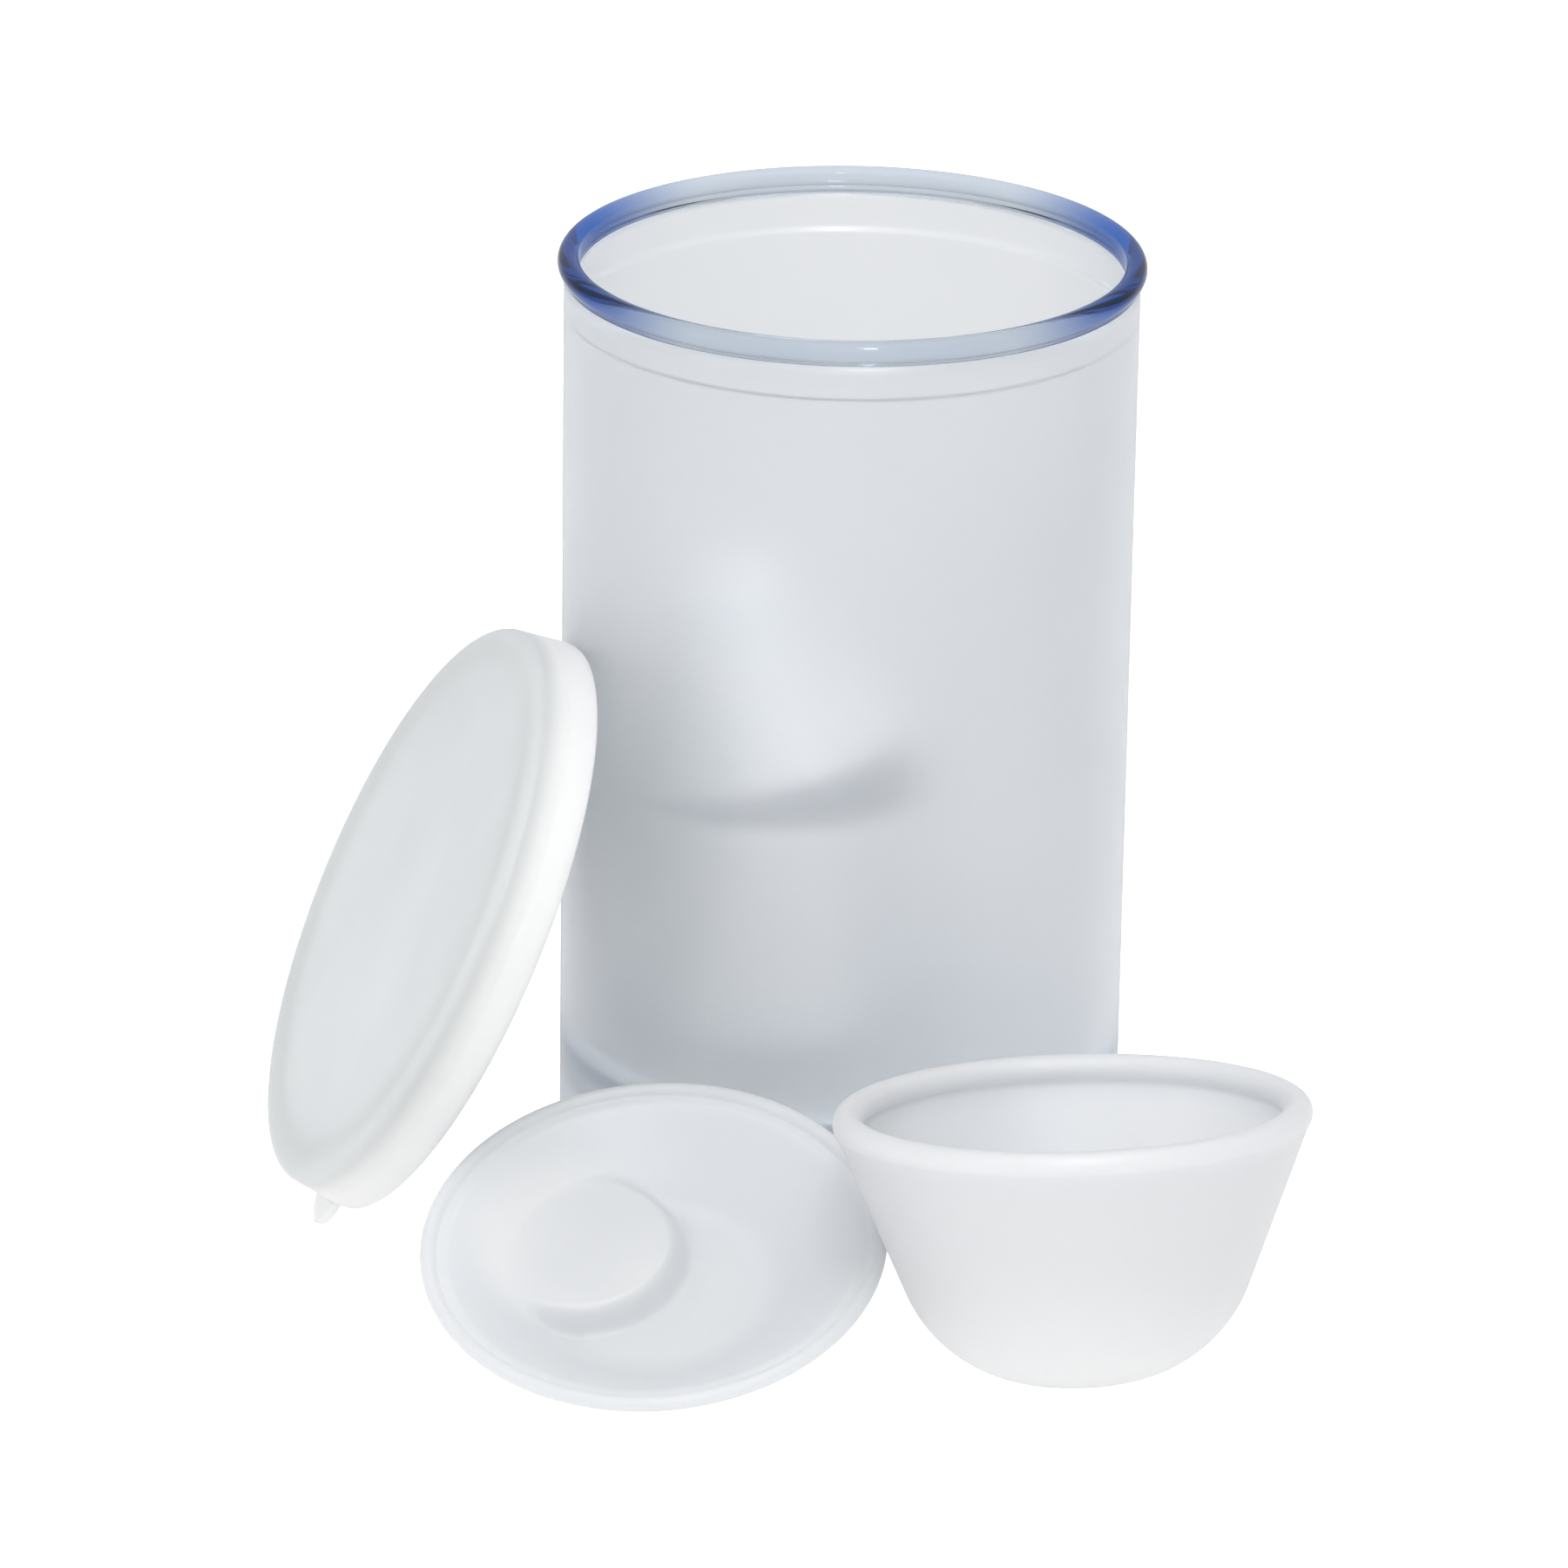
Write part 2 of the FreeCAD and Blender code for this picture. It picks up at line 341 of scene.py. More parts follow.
@dataclass(frozen=True)
class Finish:
    """How one plastic of the set looks."""

    name: str
    tint: tuple[float, float, float]
    shade: tuple[float, float, float]
    smoothest: float
    roughest: float
    cloud_scale: float = 45.0
    grain_scale: float = 1400.0
    grain_depth: float = 0.02  # millimetres
    grain_strength: float = 0.1
    ior: float = 1.49
    clearness: float = 0.0
    milk: float = 0.0
    milk_reach: tuple[float, float, float] = (1.0, 1.0, 1.0)
    milk_depth: float = 3.0  # millimetres
    edge_glow: float = 0.0
    takes_off: tuple[float, float, float] | None = None
    take_off_density: float = 0.0
    lamp_pass: tuple[float, float, float] | None = None
    # painted shading: a colour the surface passes into with distance from a middle point,
    # standing in for light and shade
    painted_shading: tuple[float, float, float] | None = None
    painted_shading_from: float = 0.5
    painted_shading_to: float = 0.97

    def make(
        self,
        middle: Vector = Vector(),
        reach: float = 1.0,
        along: Vector | None = None,
    ) -> bpy.types.Material:
        """Builds the material.

        Args:
            middle: Where the painted shading's measure starts.
            reach: How far from there the painted shading's measure is 1.
            along: The way it is measured, to either side; all ways round if left out.

        Returns:
            A material whose colour, roughness and grain come from the moulded skin, its
            colour passing into painted shading where the finish has it.
        """
        material = bpy.data.materials.new(self.name)
        material.use_nodes = True
        tree = material.node_tree
        nodes, links = tree.nodes, tree.links
        shader = nodes["Principled BSDF"]
        skin = nodes.new("ShaderNodeGroup")
        skin.node_tree = bpy.data.node_groups.get("moulded_skin") or group_skin()
        skin.inputs["Tint"].default_value = (*self.tint, 1.0)
        skin.inputs["Shade"].default_value = (*self.shade, 1.0)
        skin.inputs["Cloud Scale"].default_value = self.cloud_scale
        skin.inputs["Grain Scale"].default_value = self.grain_scale
        skin.inputs["Smoothest"].default_value = self.smoothest
        skin.inputs["Roughest"].default_value = self.roughest
        bump = nodes.new("ShaderNodeBump")
        bump.inputs["Distance"].default_value = self.grain_depth * MM
        bump.inputs["Strength"].default_value = self.grain_strength
        colour = self._colour(tree, skin, middle, reach, along)
        links.new(colour, shader.inputs["Base Color"])
        links.new(skin.outputs["Roughness"], shader.inputs["Roughness"])
        links.new(skin.outputs["Height"], bump.inputs["Height"])
        links.new(bump.outputs["Normal"], shader.inputs["Normal"])
        shader.inputs["IOR"].default_value = self.ior
        shader.inputs["Transmission Weight"].default_value = self.clearness
        shader.inputs["Subsurface Weight"].default_value = self.milk
        shader.inputs["Subsurface Radius"].default_value = self.milk_reach
        shader.inputs["Subsurface Scale"].default_value = self.milk_depth * MM
        shader.inputs["Sheen Weight"].default_value = self.edge_glow
        shader.inputs["Sheen Roughness"].default_value = 0.35
        output = next(n for n in nodes if n.type == "OUTPUT_MATERIAL")
        if self.takes_off is not None:
            inside = nodes.new("ShaderNodeVolumeAbsorption")
            inside.inputs["Color"].default_value = (*self.takes_off, 1.0)
            inside.inputs["Density"].default_value = self.take_off_density
            links.new(inside.outputs["Volume"], output.inputs["Volume"])
        if self.lamp_pass is not None:
            path = nodes.new("ShaderNodeLightPath")
            through = nodes.new("ShaderNodeBsdfTransparent")
            through.inputs["Color"].default_value = (*self.lamp_pass, 1.0)
            either = nodes.new("ShaderNodeMixShader")
            lit = nodes.new("ShaderNodeMath")
            lit.operation = "MAXIMUM"
            links.new(path.outputs["Is Shadow Ray"], lit.inputs[0])
            links.new(path.outputs["Is Diffuse Ray"], lit.inputs[1])
            links.new(lit.outputs["Value"], either.inputs["Fac"])
            links.new(shader.outputs["BSDF"], either.inputs[1])
            links.new(through.outputs["BSDF"], either.inputs[2])
            links.new(either.outputs["Shader"], output.inputs["Surface"])
        return material

    def _colour(
        self,
        tree: bpy.types.ShaderNodeTree,
        skin: bpy.types.ShaderNode,
        middle: Vector,
        reach: float,
        along: Vector | None,
    ) -> bpy.types.NodeSocket:
        """Gives the surface colour, passing into its painted shading if there is one.

        Args:
            tree: The material's nodes.
            skin: The moulded skin in it.
            middle: Where the painted shading's measure starts.
            reach: How far from there the painted shading's measure is 1.
            along: The way it is measured, to either side; all ways round if left out.

        Returns:
            The socket that the base colour comes from.
        """
        if self.painted_shading is None:
            return skin.outputs["Color"]
        # painted shading: the skin's colour passes into the painted end colour with
        # distance from the middle, standing in for light and shade
        place = tree.nodes.new("ShaderNodeTexCoord")
        centred = tree.nodes.new("ShaderNodeMapping")
        centred.inputs["Location"].default_value = -middle / reach
        centred.inputs["Scale"].default_value = [1.0 / reach] * 3
        measure = tree.nodes.new("ShaderNodeVectorMath")
        measure.operation = "LENGTH" if along is None else "DOT_PRODUCT"
        if along is not None:
            measure.inputs[1].default_value = along
        either_end = tree.nodes.new("ShaderNodeMath")
        either_end.operation = "ABSOLUTE"
        fade = tree.nodes.new("ShaderNodeMapRange")
        fade.interpolation_type = "SMOOTHSTEP"
        fade.inputs["From Min"].default_value = self.painted_shading_from
        fade.inputs["From Max"].default_value = self.painted_shading_to
        paint_shading_mix = tree.nodes.new("ShaderNodeMix")
        paint_shading_mix.data_type = "RGBA"
        paint_shading_mix.inputs["B"].default_value = (*self.painted_shading, 1.0)
        join = tree.links.new
        join(place.outputs["Object"], centred.inputs["Vector"])
        join(centred.outputs["Vector"], measure.inputs[0])
        join(measure.outputs["Value"], either_end.inputs[0])
        join(either_end.outputs["Value"], fade.inputs["Value"])
        join(fade.outputs["Result"], paint_shading_mix.inputs["Factor"])
        join(skin.outputs["Color"], paint_shading_mix.inputs["A"])
        return paint_shading_mix.outputs["Result"]


CLEAR_WALL = Finish(
    name="clear_wall",
    tint=(0.885, 0.89, 0.895),
    shade=(0.86, 0.87, 0.88),
    smoothest=0.285,
    roughest=0.335,
    cloud_scale=30.0,
    grain_scale=260.0,
    grain_strength=0.05,
    clearness=0.90,
    takes_off=(0.85, 0.88, 0.92),
    take_off_density=100.0,
    lamp_pass=(0.98, 0.985, 0.99),
)
BLUE_BEAD = Finish(
    name="blue_bead",
    tint=(0.79, 0.82, 0.85),
    shade=(0.75, 0.79, 0.83),
    smoothest=0.05,
    roughest=0.10,
    cloud_scale=60.0,
    grain_scale=400.0,
    grain_strength=0.04,
    ior=1.28,
    clearness=0.98,
    takes_off=(0.40, 0.60, 0.84),
    take_off_density=100.0,
    lamp_pass=(0.85, 0.90, 0.95),
    # painted shade: a deep cobalt on the bead's sides along X, where light crosses the
    # ring edge-on
    painted_shading=(0.006, 0.12, 0.52),
)
LID_SKIN = Finish(
    name="milky_lid",
    tint=(0.585, 0.605, 0.61),
    shade=(0.55, 0.575, 0.58),
    smoothest=0.34,
    roughest=0.46,
    grain_scale=1600.0,
    clearness=0.15,
    milk=0.8,
    milk_reach=(1.0, 1.03, 1.08),
    milk_depth=5.0,
    edge_glow=0.12,
    # painted light: the skirt paler than the face, away from the face along the lid's
    # normal
    painted_shading=(0.85, 0.85, 0.845),
    painted_shading_from=0.12,
    painted_shading_to=0.5,
)
MOULD_SKIN = Finish(
    name="milky_mould",
    tint=(0.82, 0.82, 0.825),
    shade=(0.78, 0.785, 0.79),
    smoothest=0.36,
    roughest=0.50,
    grain_scale=1300.0,
    clearness=0.3,
    milk=0.95,
    milk_reach=(1.0, 1.03, 1.08),
    milk_depth=9.0,
    edge_glow=0.12,
    # painted light and shade: paler near the base, standing in for floor light shining
    # through, and darker towards the rim
    painted_shading=(0.69, 0.70, 0.72),
    painted_shading_from=0.4,
    painted_shading_to=0.95,
)
# painted shade: a darker copy of the milky mould plastic for the dish; its colour darkens
# further away from the pad, which is left as painted light
SHADED_DISH_SKIN = replace(
    MOULD_SKIN,
    name="milky_dish_painted_shade",
    tint=(0.68, 0.685, 0.69),
    shade=(0.64, 0.65, 0.66),
    milk=1.0,
    milk_depth=12.0,
    painted_shading=(0.565, 0.58, 0.60),
    painted_shading_from=0.7,
    painted_shading_to=1.2,
)
# painted light: a copy of the milky mould plastic for the pieces in the jar, kept pale
# all over to stand in for the light the jar takes from them
LIT_STORED_SKIN = Finish(
    name="milky_mould_stored_painted_light",
    tint=(0.80, 0.81, 0.825),
    shade=(0.73, 0.745, 0.765),
    smoothest=0.29,
    roughest=0.36,
    grain_scale=1300.0,
    clearness=0.2,
    milk=0.9,
    milk_reach=(1.0, 1.03, 1.08),
    milk_depth=5.0,
    edge_glow=0.1,
    lamp_pass=(0.50, 0.51, 0.52),
)


# ---------------------------------------------------------------- pieces


def dressed(
    piece: bpy.types.Object,
    material: bpy.types.Material,
    node: str,
    body: str,
) -> bpy.types.Object:
    """Gives a piece its finish and hangs it on its body.

    Args:
        piece: The finished piece, in place.
        material: Its material.
        node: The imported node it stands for.
        body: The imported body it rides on.

    Returns:
        The same piece.
    """
    piece.data.materials.clear()
    piece.data.materials.append(material)
    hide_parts(node)
    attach(piece, body)
    LOG.info("%s: %d faces, rides on %s", piece.name, len(piece.data.polygons), body)
    return piece


@dataclass
class Jar:
    """The clear jar: a drawn wall on a pushed-up floor, and the bead round its mouth."""

    height: float = 116.0
    neck_r: float = 35.1
    draft: float = 0.35  # degrees
    wall: float = 1.8
    bead_r: float = 35.85
    bead_tube: float = 1.4
    bead_joint: float = 112.9  # where the deeper-coloured mouth begins
    joint_gap: float = 0.02
    step_drop: float = 6.8  # the step inside the neck, below the mouth
    step_in: float = 0.45
    floor_z: float = 14.0
    floor_thick: float = 2.2
    corner_r: float = 5.0
    foot_round: float = 1.2
    recess_in: float = 3.6
    recess_round: float = 3.0
    recess_lip: float = 0.5

    @property
    def foot_r(self) -> float:
        """Outer radius of the wall at the foot."""
        return self.neck_r - math.tan(math.radians(self.draft)) * self.height

    @property
    def mouth_r(self) -> float:
        """Inner radius of the mouth."""
        return self.neck_r - self.wall

    def outer_r(self, z: float) -> float:
        """Outer radius of the wall at a height."""
        return self.foot_r + (self.neck_r - self.foot_r) * z / self.height

    def wall_outline(self) -> Outline:
        """Draws the wall and floor, from the underside's middle to the floor's middle.

        Returns:
            The half section of everything under the mouth's bead.
        """
        under = self.floor_z - self.floor_thick
        recess = self.foot_r - self.recess_in
        step = self.height - self.step_drop
        floor_r = self.foot_r - self.wall
        step_r = self.mouth_r - self.step_in
        flat_r = recess - self.recess_round
        out = Outline().to(0, under).to(flat_r, under, 14)
        out.arc((flat_r, under - self.recess_round), self.recess_round, 90, 0, 10)
        lip = self.recess_lip
        out.to(recess, lip, 5).arc((recess + lip, lip), lip, 180, 270, 5)
        foot = (self.foot_r - self.foot_round, self.foot_round)
        out.to(foot[0], 0, 3).arc(foot, self.foot_round, -90, 0, 8)
        out.to(self.outer_r(self.bead_joint) - 0.01, self.bead_joint, 64)
        out.to(self.mouth_r, self.bead_joint, 4)
        out.to(self.mouth_r, step - 0.6, 5).to(step_r, step - 1.2, 3, ease=0.2)
        corner = (floor_r - self.corner_r, self.floor_z + self.corner_r)
        out.to(floor_r, corner[1], 60, ease=0.2)
        out.arc(corner, self.corner_r, 0, -90, 14)
        return out.to(0, self.floor_z, 16)

    def bead_outline(self) -> Outline:
        """Draws the ring of the mouth, closed on itself.

        Returns:
            The half section of the mouth's bead with the bit of wall under it.
        """
        bottom = self.bead_joint + self.joint_gap
        centre = (self.bead_r - self.bead_tube, self.height - self.bead_tube)
        outer = -math.degrees(math.acos((self.neck_r - centre[0]) / self.bead_tube))
        inner = math.degrees(math.acos((self.mouth_r - centre[0]) / self.bead_tube))
        out = Outline().to(self.mouth_r, bottom).to(self.neck_r, bottom, 4)
        out.arc(centre, self.bead_tube, outer, inner, 34)
        return out.to(self.mouth_r, bottom, 5)

    def build(self) -> None:
        """Turns both parts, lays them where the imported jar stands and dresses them."""
        low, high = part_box("jar")
        axis = Matrix.Translation(((low.x + high.x) / 2, (low.y + high.y) / 2, low.z))
        for name, outline, finish in (
            ("jar_wall", self.wall_outline(), CLEAR_WALL),
            ("jar_bead", self.bead_outline(), BLUE_BEAD),
        ):
            piece = turned(name, outline, AROUND_LARGE)
            nothing_selected()
            piece.matrix_world = axis
            bpy.context.view_layer.objects.active = piece
            piece.select_set(True)
            bpy.ops.object.transform_apply(location=True, rotation=True, scale=True)
            # the bead's painted shade is measured sideways along X from the jar's axis;
            # the clear wall has none
            painted_shade_way = Vector((1.0, 0.0, 0.0))
            material = finish.make(axis.translation, self.bead_r * MM, painted_shade_way)
            dressed(piece, material, "jar", "jar_body")


@dataclass
class Lid:
    """The snap lid: a dished face, a skirt with its rib, a plug ring and a tab."""

    face_r: float = 36.2
    skirt_r: float = 36.9
    depth: float = 8.2
    wall: float = 0.9
    disc: float = 1.2
    edge_r: float = 1.8
    face_dish: float = 0.3
    dish_in: float = 6.0  # how far in from the face's edge the hollow is flat
    edge_round: float = 0.3  # rounding of the skirt's and plug's open edges
    rib_at: float = -4.8
    rib_r: float = 0.45
    plug_r: float = 32.4
    plug_wall: float = 1.0
    plug_depth: float = 3.2
    tab_half: float = 4.5
    tab_reach: float = 3.6
    tab_thick: float = 1.1
    normal: tuple[float, float, float] = (-0.888, -0.168, 0.429)
    tab_turn: float = 6.7

    def outline(self) -> Outline:
        """Draws the lid from the outer face's middle to the underside's middle.

        Returns:
            The half section, its outer face at height 0.
        """
        skirt_in = self.skirt_r - self.wall
        under_r = self.face_r - self.wall + 0.1
        flat_r = self.face_r - self.dish_in
        out = Outline().to(0, -self.face_dish).to(flat_r, -self.face_dish, 22)
        for i in range(1, 11):
            t = i / 10
            fall = self.face_dish * (1 - t * t * (3 - 2 * t))
            out.to(flat_r + (self.dish_in - self.edge_r) * t, -fall)
        edge = (self.face_r - self.edge_r, -self.edge_r)
        out.arc(edge, self.edge_r, 90, 0, 10)
        soft = self.edge_round
        low = -self.depth + soft
        out.to(self.skirt_r, -self.depth + self.tab_thick, 10).to(self.skirt_r, low, 2)
        out.arc((self.skirt_r - soft, low), soft, 0, -90, 4)
        out.arc((skirt_in + soft, low), soft, -90, -180, 4)
        rib_r = self.inner_r(self.rib_at)
        out.to(self.inner_r(self.rib_at - 0.55), self.rib_at - 0.55, 5)
        out.arc((rib_r, self.rib_at), self.rib_r, 270, 90, 10)
        out.to(self.inner_r(self.rib_at + 0.55), self.rib_at + 0.55)
        out.to(under_r, -self.disc - 0.4, 6).arc(
            (under_r - 0.4, -self.disc - 0.4), 0.4, 0, 90, 5
        )
        plug_in = self.plug_r - self.plug_wall
        foot = -self.disc - self.plug_depth + soft
        out.to(self.plug_r, -self.disc, 3).to(self.plug_r, foot, 6)
        out.arc((self.plug_r - soft, foot), soft, 0, -90, 4)
        out.arc((plug_in + soft, foot), soft, -90, -180, 4)
        out.to(plug_in, -self.disc, 6)
        return out.to(0, -self.disc, 26)

    def inner_r(self, z: float) -> float:
        """Inner radius of the skirt at a height."""
        top_r, low_r = self.face_r - self.wall + 0.1, self.skirt_r - self.wall
        return top_r + (low_r - top_r) * (-z - self.disc) / (self.depth - self.disc)

    def add_tab(self, lid: bpy.types.Object) -> None:
        """Draws the thumb tab out of the skirt's open edge, rounded to its tip.

        Args:
            lid: The turned lid, in its own frame.
        """
        nothing_selected()
        bpy.context.view_layer.objects.active = lid
        lid.select_set(True)
        bpy.ops.object.mode_set(mode="EDIT")
        low, high = -self.depth * MM, (-self.depth + self.tab_thick) * MM
        middle = Vector((0.0, 0.0, (low + high) / 2))

        def on_edge(c: Vector) -> bool:
            """True for the skirt's outer faces in front, along the open edge."""
            return (
                low + 0.2 * MM < c.z < high + 0.05 * MM
                and c.y < 0
                and abs(c.x) < self.tab_half * MM
                and math.hypot(c.x, c.y) > (self.skirt_r - 0.12) * MM
            )

        count = pick_faces(lid, on_edge)
        LOG.info("lid tab drawn from %d faces", count)
        centre = self.tab_reach - self.tab_half
        done, width = 0.0, self.tab_half
        for i in range(1, 9):
            reach = self.tab_reach * math.sin(math.radians(i * TAB_STEP))
            half = math.sqrt(self.tab_half**2 - (reach - centre) ** 2)
            bpy.ops.mesh.extrude_region_move(
                TRANSFORM_OT_translate={"value": (0.0, -(reach - done) * MM, 0.0)}
            )
            bpy.ops.transform.resize(
                value=(half / width, 1.0, 0.985),
                center_override=(0.0, -(self.skirt_r + reach) * MM, middle.z),
            )
            done, width = reach, half
        bpy.ops.object.mode_set(mode="OBJECT")

    def turn(self) -> Matrix:
        """How the leaning lid is turned: its face along the normal, its tab low.

        Returns:
            The turn from the lid's own frame.
        """
        normal = Vector(self.normal).normalized()
        down = Vector((0.0, 0.0, -1.0))
        tab_way = (down - normal * down.dot(normal)).normalized()
        side = normal.cross(tab_way)
        own = Matrix((side, -tab_way, normal)).transposed().to_4x4()
        return Matrix.Rotation(math.radians(self.tab_turn), 4, normal) @ own

    def build(self) -> None:
        """Turns the lid, draws its tab, leans it on the jar and dresses it."""
        piece = turned("lid_shell", self.outline(), AROUND_LARGE)
        self.add_tab(piece)
        place = laid(piece, self.turn(), "lid")
        # the lid's painted light is measured along the face's normal, so the skirt comes
        # out paler than the face
        face_way = (place.to_3x3() @ Vector((0.0, 0.0, 1.0))).normalized()
        material = LID_SKIN.make(place.translation, self.depth * MM, face_way)
        dressed(piece, material, "lid", "lid_body")


@dataclass
class Bowl:
    """A round-bottomed bowl with an even wall and a rounded lip."""

    name: str
    node: str
    body: str
    rim_r: float
    height: float
    base_r: float
    corner_r: float
    wall: float
    lip: float
    about_x: float = 0.0
    about_y: float = 0.0
    flipped: bool = False

    @property
    def lean(self) -> float:
        """Angle of the straight wall's outward normal, in degrees."""
        across = self.rim_r - self.base_r
        up = self.height - self.lip - self.corner_r
        reach = math.hypot(across, up)
        return math.degrees(math.atan2(up, across) - math.acos(self.corner_r / reach))

    def outline(self) -> Outline:
        """Draws the bowl from the underside's middle round the lip to the inner middle.

        Returns:
            The half section, the bowl standing on its base.
        """
        lean = self.lean
        tilt = math.cos(math.radians(lean))
        top = self.height - self.lip
        corner = (self.base_r, self.corner_r)
        inner_arc = self.corner_r - self.wall
        lip_at = (self.rim_r - self.lip, top)
        bite = tilt - self.wall / self.lip
        meets_wall = bite > -1.0
        lip_end = 360 - math.degrees(math.acos(bite)) + lean if meets_wall else 180.0
        under_steps = max(2, int(self.base_r / UNDER_STEP))
        out = Outline().to(0, 0).to(self.base_r, 0, under_steps)
        out.arc(corner, self.corner_r, -90, lean, 26)
        start = math.radians(2 * lean)
        lip_start = (
            lip_at[0] + self.lip * math.cos(start),
            lip_at[1] + self.lip * math.sin(start),
        )
        out.to(*lip_start, 14)
        out.arc(lip_at, self.lip, 2 * lean, lip_end, 26)
        a = math.radians(lean)
        arc_top = (
            self.base_r + inner_arc * math.cos(a),
            self.corner_r + inner_arc * math.sin(a),
        )
        if not meets_wall:
            out.to(self.rim_r - self.wall / tilt, top, 2, ease=0.3)
        out.to(*arc_top, 14, ease=0.5)
        out.arc(corner, inner_arc, lean, -90, 26)
        return out.to(0, self.wall, max(2, int(self.base_r / FLOOR_STEP)))

    def turn(self) -> Matrix:
        """How the bowl is turned from standing on its base.

        Returns:
            The turn from the bowl's own frame.
        """
        over = Matrix.Rotation(math.pi if self.flipped else 0.0, 4, "X")
        about_x = Matrix.Rotation(math.radians(self.about_x), 4, "X")
        about_y = Matrix.Rotation(math.radians(self.about_y), 4, "Y")
        return about_y @ about_x @ over

    def shape(self, piece: bpy.types.Object) -> None:
        """Adds what this bowl has beyond its turned wall; a plain bowl adds nothing."""

    def skin(self, finish: Finish, place: Matrix) -> bpy.types.Material:
        """Makes the bowl's material, its painted shading, where the finish has it,
        measured from the base's middle out to the bowl's height.

        Args:
            finish: The finish it is given.
            place: Where the bowl's own frame stands.

        Returns:
            The material.
        """
        return finish.make(place.translation, self.height * MM)

    def build(self, finish: Finish) -> None:
        """Turns, shapes, lays and dresses the bowl.

        Args:
            finish: The finish it is given.
        """
        piece = turned(self.name, self.outline())
        self.shape(piece)
        place = laid(piece, self.turn(), self.node)
        dressed(piece, self.skin(finish, place), self.node, self.body)


@dataclass
class Dish(Bowl):
    """The shallow dish, with the round pad raised off-centre on its inner floor."""

    pad_r: float = 13.2
    pad_top_r: float = 11.2
    pad_height: float = 3.2
    pad_x: float = -9.3
    pad_y: float = 5.5
    pad_soft: float = 0.5  # how far each way the pad's slope is eased

    def shape(self, piece: bpy.types.Object) -> None:
        """Presses the pad up out of the inner floor, with soft edges.

        Args:
            piece: The turned dish, in its own frame.
        """
        top = (self.wall + self.pad_height) * MM
        floor = self.wall * 0.5 * MM

        def lift(c: Vector) -> float:
            """How far an inner point rises to reach the pad."""
            inner = c.z - floor > self.wall * 0.4 * MM and self.is_inside(c)
            if not inner:
                return 0.0
            away = math.hypot(c.x / MM - self.pad_x, c.y / MM - self.pad_y)
            wide = self.pad_r - self.pad_top_r + 2 * self.pad_soft
            t = (self.pad_r + self.pad_soft - away) / wide
            t = min(1.0, max(0.0, t))
            share = t * t * (3 - 2 * t)
            return max(0.0, (top - c.z) * share)

        raised(piece, lift, self.pad_height * MM)

    def skin(self, finish: Finish, place: Matrix) -> bpy.types.Material:
        """Makes the dish's material, with painted light on the pad and painted shade
        darkening away from it.

        Args:
            finish: The finish it is given.
            place: Where the dish's own frame stands.

        Returns:
            The material.
        """
        pad = Vector((self.pad_x, self.pad_y, self.wall + self.pad_height)) * MM
        return finish.make(place @ pad, self.pad_r * MM)

    def is_inside(self, c: Vector) -> bool:
        """True for a point of the inner surface rather than of the outer one."""
        radius, z = math.hypot(c.x, c.y) / MM, c.z / MM
        if radius > self.rim_r - 2 * self.lip - 1.0:
            return False
        if radius < self.base_r:
            return z > self.wall * 0.5
        a = math.radians(self.lean)
        off_arc = math.hypot(radius - self.base_r, z - self.corner_r)
        if z - self.corner_r < math.tan(a) * (radius - self.base_r):
            return off_arc < self.corner_r - self.wall * 0.5
        across = (radius - self.base_r) * math.cos(a) + (z - self.corner_r) * math.sin(a)
        return across < self.corner_r - self.wall * 0.5


@dataclass
class MouldSet:
    """The whole set, in the order it is laid out."""

    jar: Jar = field(default_factory=Jar)
    lid: Lid = field(default_factory=Lid)
    cup: Bowl = field(
        default_factory=lambda: Bowl(
            "mould_cup_body", "mould_cup", "cup_body",
            28.6, 33.5, 4.0, 17.8, 2.0, 1.8, about_x=-8.4, about_y=-2.7,
        )
    )
    dish: Dish = field(
        default_factory=lambda: Dish(
            "mould_dish_body", "mould_dish", "dish_body",
            28.0, 10.0, 12.0, 8.0, 1.8, 0.95, about_x=22.2, about_y=-4.0,
        )
    )
    small_cup: Bowl = field(
        default_factory=lambda: Bowl(
            "small_cup_body_shell", "small_cup", "small_cup_body",
            19.6, 33.0, 6.0, 10.0, 1.5, 0.95,
        )
    )
    small_dome: Bowl = field(
        default_factory=lambda: Bowl(
            "small_dome_shell", "small_dome", "small_dome_body",
            19.2, 26.5, 0.6, 9.5, 1.5, 0.95, about_y=-14.0, flipped=True,
        )
    )

    def build(self) -> None:
        """Builds every piece of the set."""
        self.jar.build()
        self.lid.build()
        for bowl, finish in (
            (self.cup, MOULD_SKIN),
            (self.dish, SHADED_DISH_SKIN),
            (self.small_cup, LIT_STORED_SKIN),
            (self.small_dome, LIT_STORED_SKIN),
        ):
            bowl.build(finish)


# ---------------------------------------------------------------- studio


@dataclass
class Lamp:
    """A soft rectangular lamp aimed at the set."""

    name: str
    azimuth: float  # degrees, 0 in front of the set and 90 to its right
    elevation: float
    distance: float
    width: float
    length: float
    power: float
    tint: tuple[float, float, float] = (1.0, 1.0, 1.0)

    def build(self, aim: Vector) -> None:
        """Hangs the lamp.

        Args:
            aim: The point it looks at.
        """
        data = bpy.data.lights.new(self.name, "AREA")
        data.shape = "RECTANGLE"
        data.size, data.size_y = self.width, self.length
        data.energy = self.power
        data.color = self.tint
        lamp = bpy.data.objects.new(self.name, data)
        bpy.context.scene.collection.objects.link(lamp)
        a, e = math.radians(self.azimuth), math.radians(self.elevation)
        way = Vector((math.sin(a) * math.cos(e), -math.cos(a) * math.cos(e), math.sin(e)))
        lamp.location = aim + way * self.distance
        lamp.rotation_mode = "QUATERNION"
        lamp.rotation_quaternion = way.to_track_quat("Z", "Y")


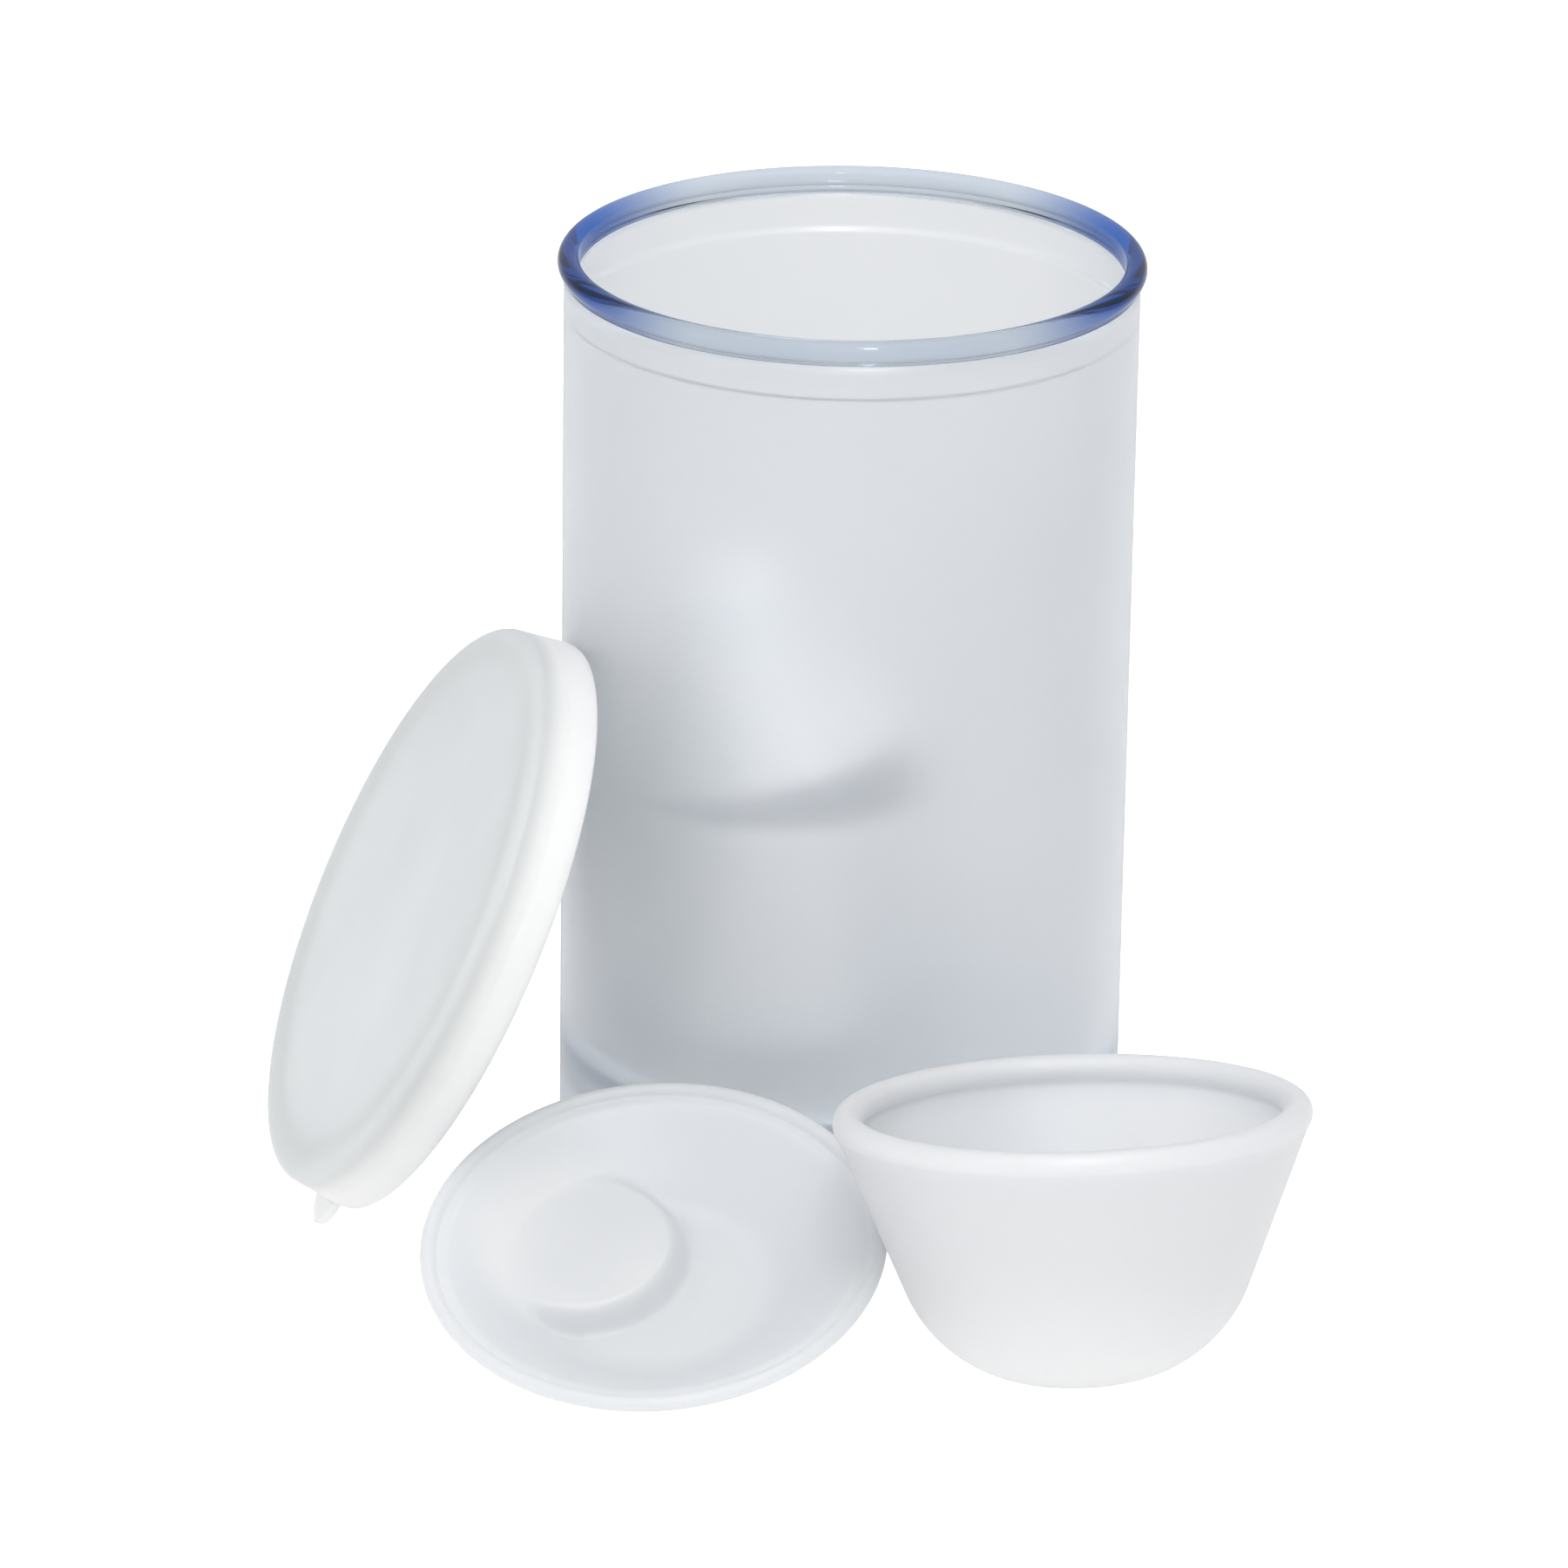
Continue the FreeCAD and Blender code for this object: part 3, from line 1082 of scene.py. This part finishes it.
@dataclass
class Studio:
    """The pale floor, the soft light and the camera."""

    floor_size: float = 9.0
    floor_tint: float = 0.62
    floor_glow: float = 0.2
    floor_bounce: float = 0.65  # what it gives beyond that to the lens and to dull skins
    sky_top: tuple[float, float, float] = (0.88, 0.885, 0.89)
    sky_low: tuple[float, float, float] = (0.66, 0.67, 0.69)
    sky_strength: float = 0.86
    lens: float = 373.94
    distance: float = 2.0
    pitch: float = 19.805  # degrees the camera looks down
    roll: float = 0.9174
    aim_left: float = 7.305  # millimetres left of the jar's axis
    aim_height: float = 47.248
    lamps: tuple[Lamp, ...] = (
        Lamp("top_softbox", 0.0, 80.0, 1.3, 1.2, 1.2, 6.8),
        Lamp("front_softbox", 0.0, 32.0, 1.5, 0.9, 0.9, 4.2),
        Lamp("left_fill", -60.0, 25.0, 1.5, 0.8, 0.8, 2.0),
        Lamp("front_window", 10.0, 55.0, 1.1, 0.10, 0.34, 2.6),
    )

    def build(self) -> None:
        """Lays the floor, hangs the lamps and sets the camera."""
        low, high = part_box("jar")
        axis = Vector(((low.x + high.x) / 2, (low.y + high.y) / 2, 0.0))
        self.lay_floor()
        self.light_sky()
        for lamp in self.lamps:
            lamp.build(Vector((0.0, 0.0, 0.05)))
        self.set_camera(axis)
        bpy.context.scene.view_settings.view_transform = "Standard"
        bpy.context.scene.view_settings.look = "None"

    def lay_floor(self) -> None:
        """Lays the plain pale floor under the set."""
        nothing_selected()
        bpy.ops.mesh.primitive_plane_add(size=self.floor_size, location=(0.0, 0.0, 0.0))
        floor = bpy.context.object
        floor.name = "floor"
        material = bpy.data.materials.new("pale_floor")
        material.use_nodes = True
        nodes, links = material.node_tree.nodes, material.node_tree.links
        shader = nodes["Principled BSDF"]
        shader.inputs["Base Color"].default_value = (*[self.floor_tint] * 3, 1.0)
        shader.inputs["Roughness"].default_value = 0.9
        shader.inputs["Specular IOR Level"].default_value = 0.1
        shader.inputs["Emission Color"].default_value = (1.0, 1.0, 1.0, 1.0)
        path = nodes.new("ShaderNodeLightPath")
        glow = nodes.new("ShaderNodeMath")
        glow.operation = "MULTIPLY_ADD"
        glow.inputs[1].default_value = self.floor_bounce
        glow.inputs[2].default_value = self.floor_glow
        either = nodes.new("ShaderNodeMath")
        either.operation = "MAXIMUM"
        links.new(path.outputs["Is Diffuse Ray"], either.inputs[0])
        links.new(path.outputs["Is Camera Ray"], either.inputs[1])
        links.new(either.outputs["Value"], glow.inputs[0])
        links.new(glow.outputs["Value"], shader.inputs["Emission Strength"])
        floor.data.materials.append(material)

    def light_sky(self) -> None:
        """Lights the room evenly, paler overhead than at the horizon."""
        world = bpy.data.worlds.new("soft_room")
        bpy.context.scene.world = world
        world.use_nodes = True
        nodes, links = world.node_tree.nodes, world.node_tree.links
        background = next(n for n in nodes if n.type == "BACKGROUND")
        place = nodes.new("ShaderNodeTexCoord")
        split = nodes.new("ShaderNodeSeparateXYZ")
        ramp = nodes.new("ShaderNodeValToRGB")
        ramp.color_ramp.elements[0].position = 0.0
        ramp.color_ramp.elements[0].color = (*self.sky_low, 1.0)
        ramp.color_ramp.elements[1].position = 0.8
        ramp.color_ramp.elements[1].color = (*self.sky_top, 1.0)
        links.new(place.outputs["Generated"], split.inputs["Vector"])
        links.new(split.outputs["Z"], ramp.inputs["Fac"])
        links.new(ramp.outputs["Color"], background.inputs["Color"])
        background.inputs["Strength"].default_value = self.sky_strength

    def set_camera(self, axis: Vector) -> None:
        """Sets the camera, looking down at the set from the front.

        Args:
            axis: Where the jar's axis meets the floor.
        """
        data = bpy.data.cameras.new("camera")
        data.lens, data.sensor_width = self.lens, 36.0
        data.clip_start, data.clip_end = 0.1, 30.0
        camera = bpy.data.objects.new("camera", data)
        bpy.context.scene.collection.objects.link(camera)
        p, r = math.radians(self.pitch), math.radians(self.roll)
        ahead = Vector((0.0, math.cos(p), -math.sin(p)))
        level, rise = Vector((1.0, 0.0, 0.0)), Vector((0.0, math.sin(p), math.cos(p)))
        right = level * math.cos(r) + rise * math.sin(r)
        above = rise * math.cos(r) - level * math.sin(r)
        turn = Matrix((right, above, -ahead)).transposed()
        aim = axis + Vector((-self.aim_left * MM, 0.0, self.aim_height * MM))
        stand = Matrix.Translation(aim - ahead * self.distance)
        camera.matrix_world = stand @ turn.to_4x4()
        bpy.context.scene.camera = camera


def main() -> None:
    """Builds the set and the studio."""
    logging.basicConfig(level=logging.INFO, format="%(name)s: %(message)s")
    MouldSet().build()
    Studio().build()


if __name__ == "__main__":
    main()
